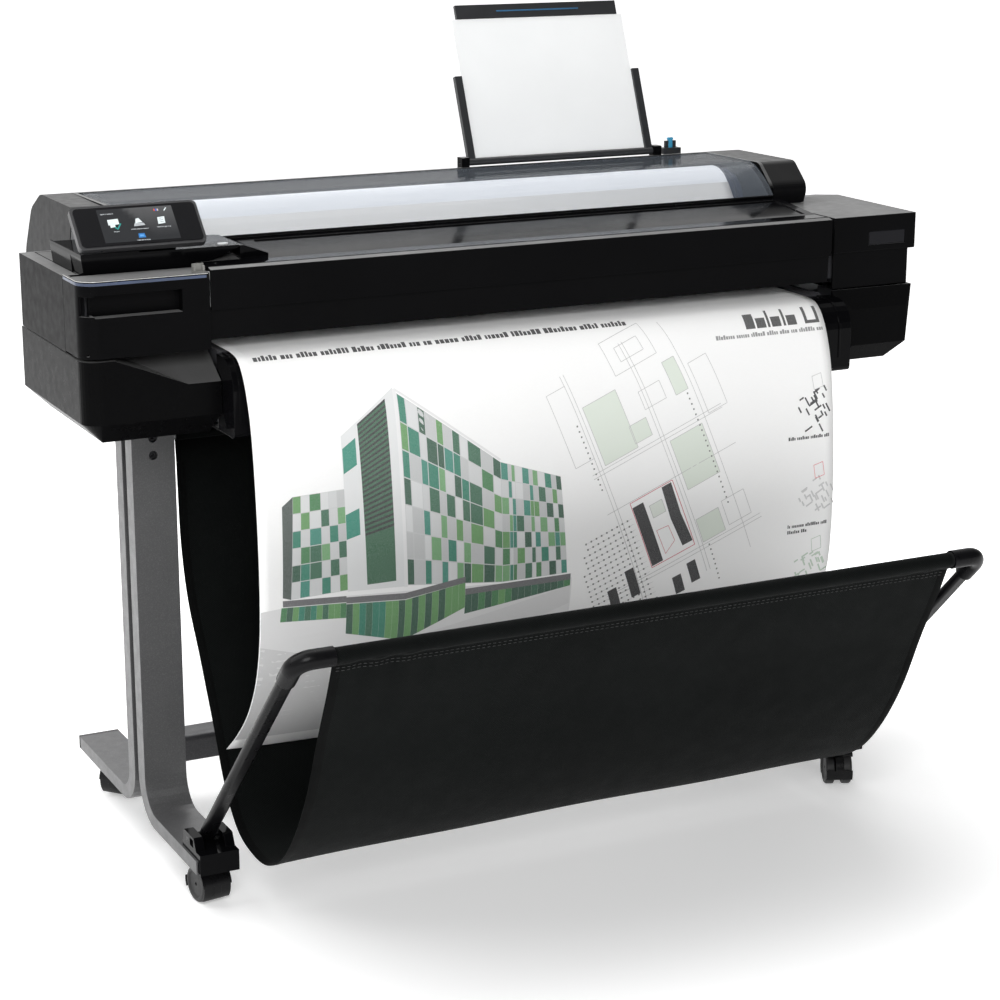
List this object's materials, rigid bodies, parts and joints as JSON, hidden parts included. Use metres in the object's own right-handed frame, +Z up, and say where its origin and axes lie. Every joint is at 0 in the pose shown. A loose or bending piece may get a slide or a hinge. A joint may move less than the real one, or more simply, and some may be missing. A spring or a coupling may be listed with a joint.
{
  "type": "large format plotter",
  "caption": "Roll-fed large format plotter on a two-legged wheeled stand, with a lifting roll cover, rear sheet feeder, tilted touch panel and an open fabric print basket.",
  "frame": {"origin": "on the floor, at the middle of the footprint", "axes": "+X towards the right-hand housing along the width, +Y from the basket to the rear, +Z up"},
  "size_m": [1.317, 0.8678, 1.1811],
  "materials": {
    "leg_grey": "satin",
    "bar_grey": "satin",
    "housing_black": "fine texture",
    "gloss_black": "gloss",
    "dark_grey": "satin",
    "steel": "satin",
    "rubber_black": "matte",
    "fabric_black": "woven",
    "paper_white": "matte",
    "white_plastic": "satin",
    "window_clear": "polished",
    "screen_glass": "polished",
    "button_white": "gloss",
    "navy_plastic": "satin",
    "blue_plastic": "satin",
    "board_green": "satin",
    "sheet_steel": "galvanised",
    "caster_black": "satin"
  },
  "bodies": {
    "printer": {"leg_left": "leg_grey", "leg_right": "leg_grey", "leg_trim": "housing_black", "leg_bolts": "steel", "crossbar": "bar_grey", "foot_brackets": "gloss_black", "hinge_pins": "steel", "caster_stems": "steel", "fabric_rod": "steel", "chassis": "sheet_steel", "base_tray": "housing_black", "left_lower_housing": "housing_black", "left_upper_housing": "housing_black", "right_lower_housing": "housing_black", "right_upper_housing": "housing_black", "touch_deck": "gloss_black", "touch_panel": "dark_grey", "touch_glass": "screen_glass", "top_deck": "gloss_black", "platen": "dark_grey", "output_guide": "gloss_black", "carriage_rail": "steel", "carriage_motor": "steel", "drive_belt": "rubber_black", "service_station": "dark_grey", "cartridge_bay": "dark_grey", "ink_cartridges": "housing_black", "main_board": "board_green", "power_supply": "sheet_steel", "power_inlet": "dark_grey", "bay_shell": "housing_black", "hood_cap_left": "housing_black", "hood_cap_right": "housing_black", "paper_sheet": "paper_white"},
    "cartridge_door": {"cartridge_door": "housing_black"},
    "front_cover": {"front_cover": "housing_black"},
    "roll_cover": {"cover_window": "window_clear", "cover_trim": "dark_grey"},
    "power_button": {"power_button": "button_white"},
    "carriage": {"carriage": "dark_grey", "print_head": "dark_grey"},
    "motor_pulley": {"motor_pulley": "steel"},
    "idler_pulley": {"idler_pulley": "steel"},
    "feed_roller": {"feed_roller": "rubber_black"},
    "pinch_rollers": {"pinch_rollers": "rubber_black"},
    "media_roll": {"spindle": "navy_plastic", "paper_roll": "paper_white"},
    "sheet_tray": {"tray_arms": "dark_grey", "sheet_plate": "white_plastic"},
    "width_guide": {"width_guide": "blue_plastic"},
    "basket": {"basket_frame": "gloss_black", "basket_fabric": "fabric_black"},
    "caster_fl": {"caster_hood_fl": "caster_black"},
    "wheels_fl": {"caster_wheels_fl": "caster_black"},
    "caster_fr": {"caster_hood_fr": "caster_black"},
    "wheels_fr": {"caster_wheels_fr": "caster_black"},
    "caster_rl": {"caster_hood_rl": "caster_black"},
    "wheels_rl": {"caster_wheels_rl": "caster_black"},
    "caster_rr": {"caster_hood_rr": "caster_black"},
    "wheels_rr": {"caster_wheels_rr": "caster_black"}
  },
  "joints": [
    {"name": "cartridge_door_hinge", "type": "hinge", "parent": "printer", "child": "cartridge_door", "pos_m": [-0.57, -0.044, 0.781], "axis": [1, 0, 0], "range_deg": [0, 80]},
    {"name": "front_cover_hinge", "type": "hinge", "parent": "printer", "child": "front_cover", "pos_m": [0, -0.0365, 0.88], "axis": [-1, 0, 0], "range_deg": [0, 60]},
    {"name": "roll_cover_hinge", "type": "hinge", "parent": "printer", "child": "roll_cover", "pos_m": [-0.028, 0.299, 0.938], "axis": [-1, 0, 0], "range_deg": [0, 70]},
    {"name": "power_button_press", "type": "slide", "parent": "printer", "child": "power_button", "axis": [0, 0, -1], "range_m": [0, 0.0015], "stiffness_N_per_m": 400, "springref_m": -0.001},
    {"name": "carriage_travel", "type": "slide", "parent": "printer", "child": "carriage", "axis": [-1, 0, 0], "range_m": [0, 1.03]},
    {"name": "motor_pulley_spin", "type": "hinge", "parent": "printer", "child": "motor_pulley", "pos_m": [0.612, 0.116, 0.854], "axis": [0, 0, -1], "range_deg": [-5, 6491]},
    {"name": "idler_pulley_spin", "type": "hinge", "parent": "printer", "child": "idler_pulley", "pos_m": [-0.612, 0.116, 0.854], "axis": [0, 0, -1], "range_deg": [-5, 6491]},
    {"name": "media_roll_spin", "type": "hinge", "parent": "printer", "child": "media_roll", "pos_m": [-0.028, 0.222, 0.88], "axis": [1, 0, 0], "continuous": true},
    {"name": "feed_roller_spin", "type": "hinge", "parent": "printer", "child": "feed_roller", "pos_m": [0.015, 0.068, 0.758], "axis": [1, 0, 0], "continuous": true},
    {"name": "pinch_roller_spin", "type": "hinge", "parent": "printer", "child": "pinch_rollers", "pos_m": [0.015, 0.068, 0.7767], "axis": [1, 0, 0], "continuous": true},
    {"name": "sheet_tray_fold", "type": "hinge", "parent": "printer", "child": "sheet_tray", "pos_m": [0.2365, 0.318, 0.95], "axis": [-1, 0, 0], "range_deg": [0, 55]},
    {"name": "width_guide_slide", "type": "slide", "parent": "printer", "child": "width_guide", "axis": [1, 0, 0], "range_m": [0, 0.04]},
    {"name": "basket_fold", "type": "hinge", "parent": "printer", "child": "basket", "pos_m": [0, -0.065, 0.093], "axis": [-1, 0, 0], "range_deg": [0, 56], "deforming": ["basket_fabric", "paper_sheet"]},
    {"name": "caster_swivel_fl", "type": "hinge", "parent": "printer", "child": "caster_fl", "pos_m": [-0.5175, -0.085, 0.04], "axis": [0, 0, 1], "continuous": true},
    {"name": "wheel_spin_fl", "type": "hinge", "parent": "caster_fl", "child": "wheels_fl", "pos_m": [-0.51959, -0.07015, 0.026], "axis": [0.9903, 0.1392, 0], "continuous": true},
    {"name": "caster_swivel_fr", "type": "hinge", "parent": "printer", "child": "caster_fr", "pos_m": [0.5175, -0.085, 0.04], "axis": [0, 0, 1], "continuous": true},
    {"name": "wheel_spin_fr", "type": "hinge", "parent": "caster_fr", "child": "wheels_fr", "pos_m": [0.5114, -0.0987, 0.026], "axis": [-0.9135, 0.4067, 0], "continuous": true},
    {"name": "caster_swivel_rl", "type": "hinge", "parent": "printer", "child": "caster_rl", "pos_m": [-0.5175, 0.35, 0.04], "axis": [0, 0, 1], "continuous": true},
    {"name": "wheel_spin_rl", "type": "hinge", "parent": "caster_rl", "child": "wheels_rl", "pos_m": [-0.50601, 0.35964, 0.026], "axis": [0.6428, -0.766, 0], "continuous": true},
    {"name": "caster_swivel_rr", "type": "hinge", "parent": "printer", "child": "caster_rr", "pos_m": [0.5175, 0.35, 0.04], "axis": [0, 0, 1], "continuous": true},
    {"name": "wheel_spin_rr", "type": "hinge", "parent": "caster_rr", "child": "wheels_rr", "pos_m": [0.51387, 0.36455, 0.026], "axis": [0.9703, 0.2419, 0], "continuous": true}
  ],
  "couplings": [
    {"joint": "motor_pulley_spin", "follows": "carriage_travel", "rad_per_m": 109.89},
    {"joint": "idler_pulley_spin", "follows": "carriage_travel", "rad_per_m": 109.89},
    {"joint": "feed_roller_spin", "follows": "media_roll_spin", "ratio": 4.5},
    {"joint": "pinch_roller_spin", "follows": "media_roll_spin", "ratio": -9}
  ]
}
